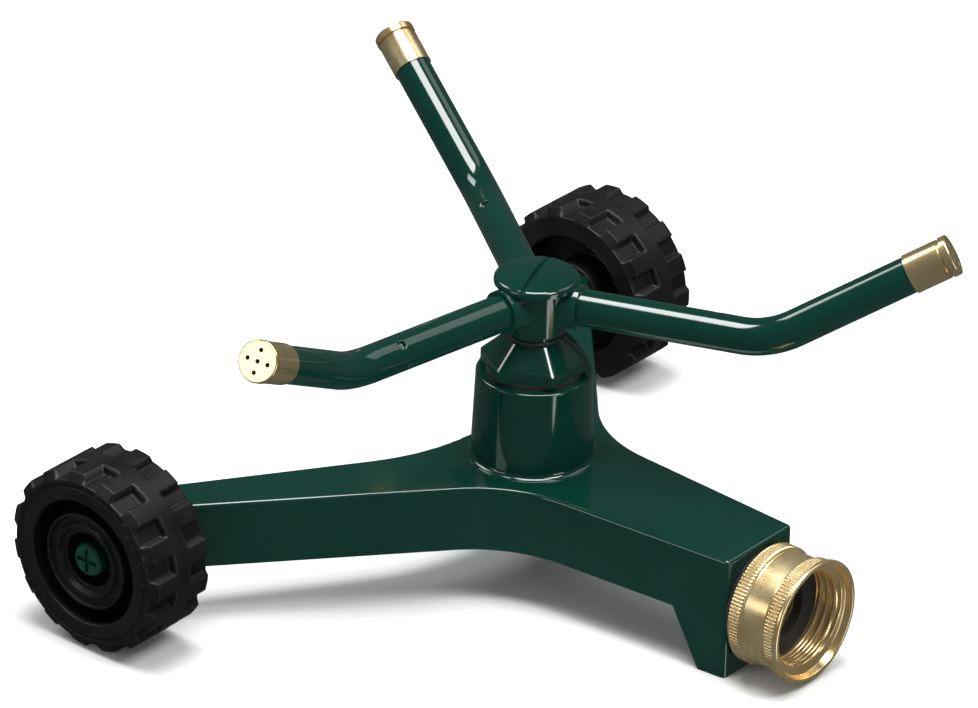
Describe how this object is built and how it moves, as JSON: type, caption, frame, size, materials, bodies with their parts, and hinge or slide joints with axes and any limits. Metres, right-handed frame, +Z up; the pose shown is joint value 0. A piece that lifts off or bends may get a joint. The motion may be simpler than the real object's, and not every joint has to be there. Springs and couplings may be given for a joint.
{
  "type": "rotary garden sprinkler",
  "caption": "Garden sprinkler with a spinning arm rotor on a green cast base with two wheels and a brass swivel hose inlet.",
  "frame": {"origin": "on the rotor's turning axis, at ground level", "axes": "+Z up along the rotor axis; X along the two wheel axles; -Y towards the hose inlet"},
  "size_m": [0.216, 0.1908, 0.108],
  "materials": {
    "green_enamel": "glossy dark green enamel",
    "brass": "bright machined",
    "black_rubber": "matte",
    "black_nylon": "matte",
    "wheel_plastic": "moulded satin black",
    "steel": "zinc plated",
    "blackened_steel": "blackened"
  },
  "bodies": {
    "base": {"base_casting": "green_enamel", "inlet_stem": "brass", "stem_gasket": "black_rubber", "bearing_nut": "green_enamel", "nut_gasket": "black_rubber", "bearing_bush": "black_nylon", "seat_washer": "black_rubber", "thrust_washer": "black_nylon", "wheel_washer_left": "steel", "wheel_washer_right": "steel", "push_ring_left": "blackened_steel", "push_ring_right": "blackened_steel"},
    "rotor": {"spindle": "brass", "rotor_head": "green_enamel", "arm_1": "green_enamel", "arm_2": "green_enamel", "arm_3": "green_enamel", "nozzle_1": "brass", "nozzle_2": "brass", "nozzle_3": "brass"},
    "coupling": {"swivel_coupling": "brass", "hose_washer": "black_rubber"},
    "left_wheel": {"wheel_left": "wheel_plastic"},
    "right_wheel": {"wheel_right": "wheel_plastic"}
  },
  "joints": [
    {"name": "rotor_spin", "type": "hinge", "parent": "base", "child": "rotor", "pos_m": [0, 0, 0.0766], "axis": [0, 0, 1], "continuous": true},
    {"name": "inlet_swivel", "type": "hinge", "parent": "base", "child": "coupling", "pos_m": [0, -0.084, 0.0176], "axis": [0, 1, 0], "continuous": true},
    {"name": "left_wheel_spin", "type": "hinge", "parent": "base", "child": "left_wheel", "pos_m": [-0.0972, 0.0568, 0.0246], "axis": [1, 0, 0], "continuous": true},
    {"name": "right_wheel_spin", "type": "hinge", "parent": "base", "child": "right_wheel", "pos_m": [0.0972, 0.0568, 0.0246], "axis": [1, 0, 0], "continuous": true}
  ]
}
